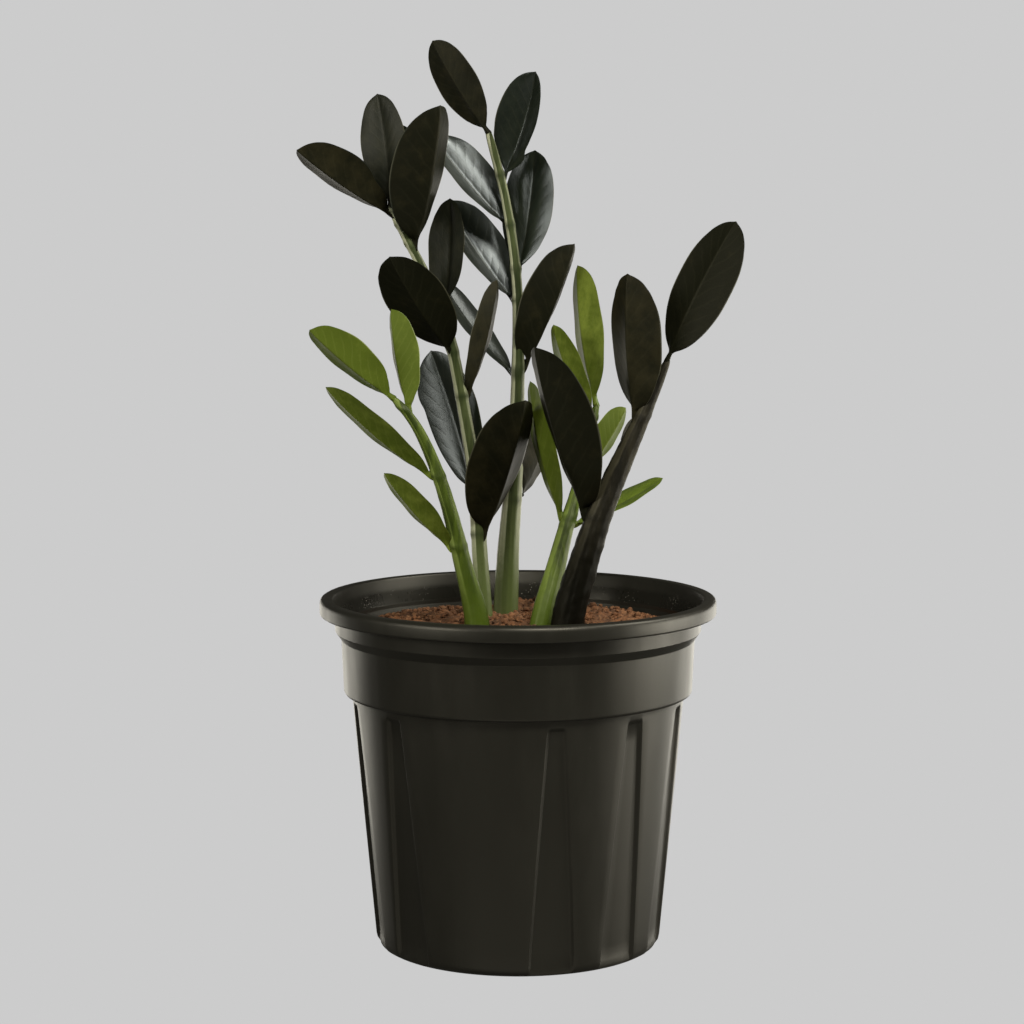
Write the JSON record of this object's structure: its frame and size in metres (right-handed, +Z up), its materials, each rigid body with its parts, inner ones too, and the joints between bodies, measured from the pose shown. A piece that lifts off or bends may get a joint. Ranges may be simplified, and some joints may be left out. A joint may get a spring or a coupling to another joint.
{
  "type": "potted zz plant",
  "caption": "ZZ plant with thick upright stems and paired fleshy leaflets, rooted in coir in a round fluted black plastic grower's pot with a rolled rim.",
  "frame": {"origin": "centre of the pot's foot, on the surface that the pot stands on", "axes": "+Z up along the pot's axis; -Y is the front, where the pot has its plain panel; +X is to the right seen from the front"},
  "size_m": [0.1743, 0.16, 0.3646],
  "materials": {
    "pot_plastic": "satin black moulded polypropylene",
    "coir": "loose reddish-brown coir and peat crumbs",
    "rhizome_skin": "dry tan tuber skin",
    "green_stem": "fleshy dark green stem with pale grooves, soft sheen",
    "young_stem": "fleshy bright green stem, soft sheen",
    "dark_stem": "nearly black mottled stem, grey-brown above",
    "old_leaf": "waxy black-green leaf, glossy above and matte below, fine side veins",
    "young_leaf": "waxy yellow-green leaf, glossy above and matte below, fine side veins"
  },
  "bodies": {
    "root": {"pot": "pot_plastic", "soil": "coir", "back_rhizome": "rhizome_skin", "left_rhizome": "rhizome_skin", "right_rhizome": "rhizome_skin", "centre_stem": "green_stem", "left_stem": "green_stem", "young_left_stem": "young_stem", "young_right_stem": "young_stem", "right_stem": "dark_stem", "centre_leaf_1": "old_leaf", "centre_leaf_2": "old_leaf", "centre_leaf_3": "old_leaf", "centre_leaf_4": "old_leaf", "centre_leaf_5": "old_leaf", "centre_leaf_6": "old_leaf", "centre_leaf_7": "old_leaf", "centre_leaf_8": "old_leaf", "left_leaf_1": "old_leaf", "left_leaf_2": "old_leaf", "left_leaf_3": "old_leaf", "left_leaf_4": "old_leaf", "left_leaf_5": "old_leaf", "left_leaf_6": "old_leaf", "left_leaf_7": "old_leaf", "left_leaf_8": "old_leaf", "left_leaf_9": "old_leaf", "young_left_leaf_1": "young_leaf", "young_left_leaf_2": "young_leaf", "young_left_leaf_3": "young_leaf", "young_left_leaf_4": "young_leaf", "young_right_leaf_1": "young_leaf", "young_right_leaf_2": "young_leaf", "young_right_leaf_3": "young_leaf", "young_right_leaf_4": "young_leaf", "young_right_leaf_5": "young_leaf", "right_leaf_1": "old_leaf", "right_leaf_2": "old_leaf", "right_leaf_3": "old_leaf", "right_leaf_4": "old_leaf"}
  },
  "joints": []
}
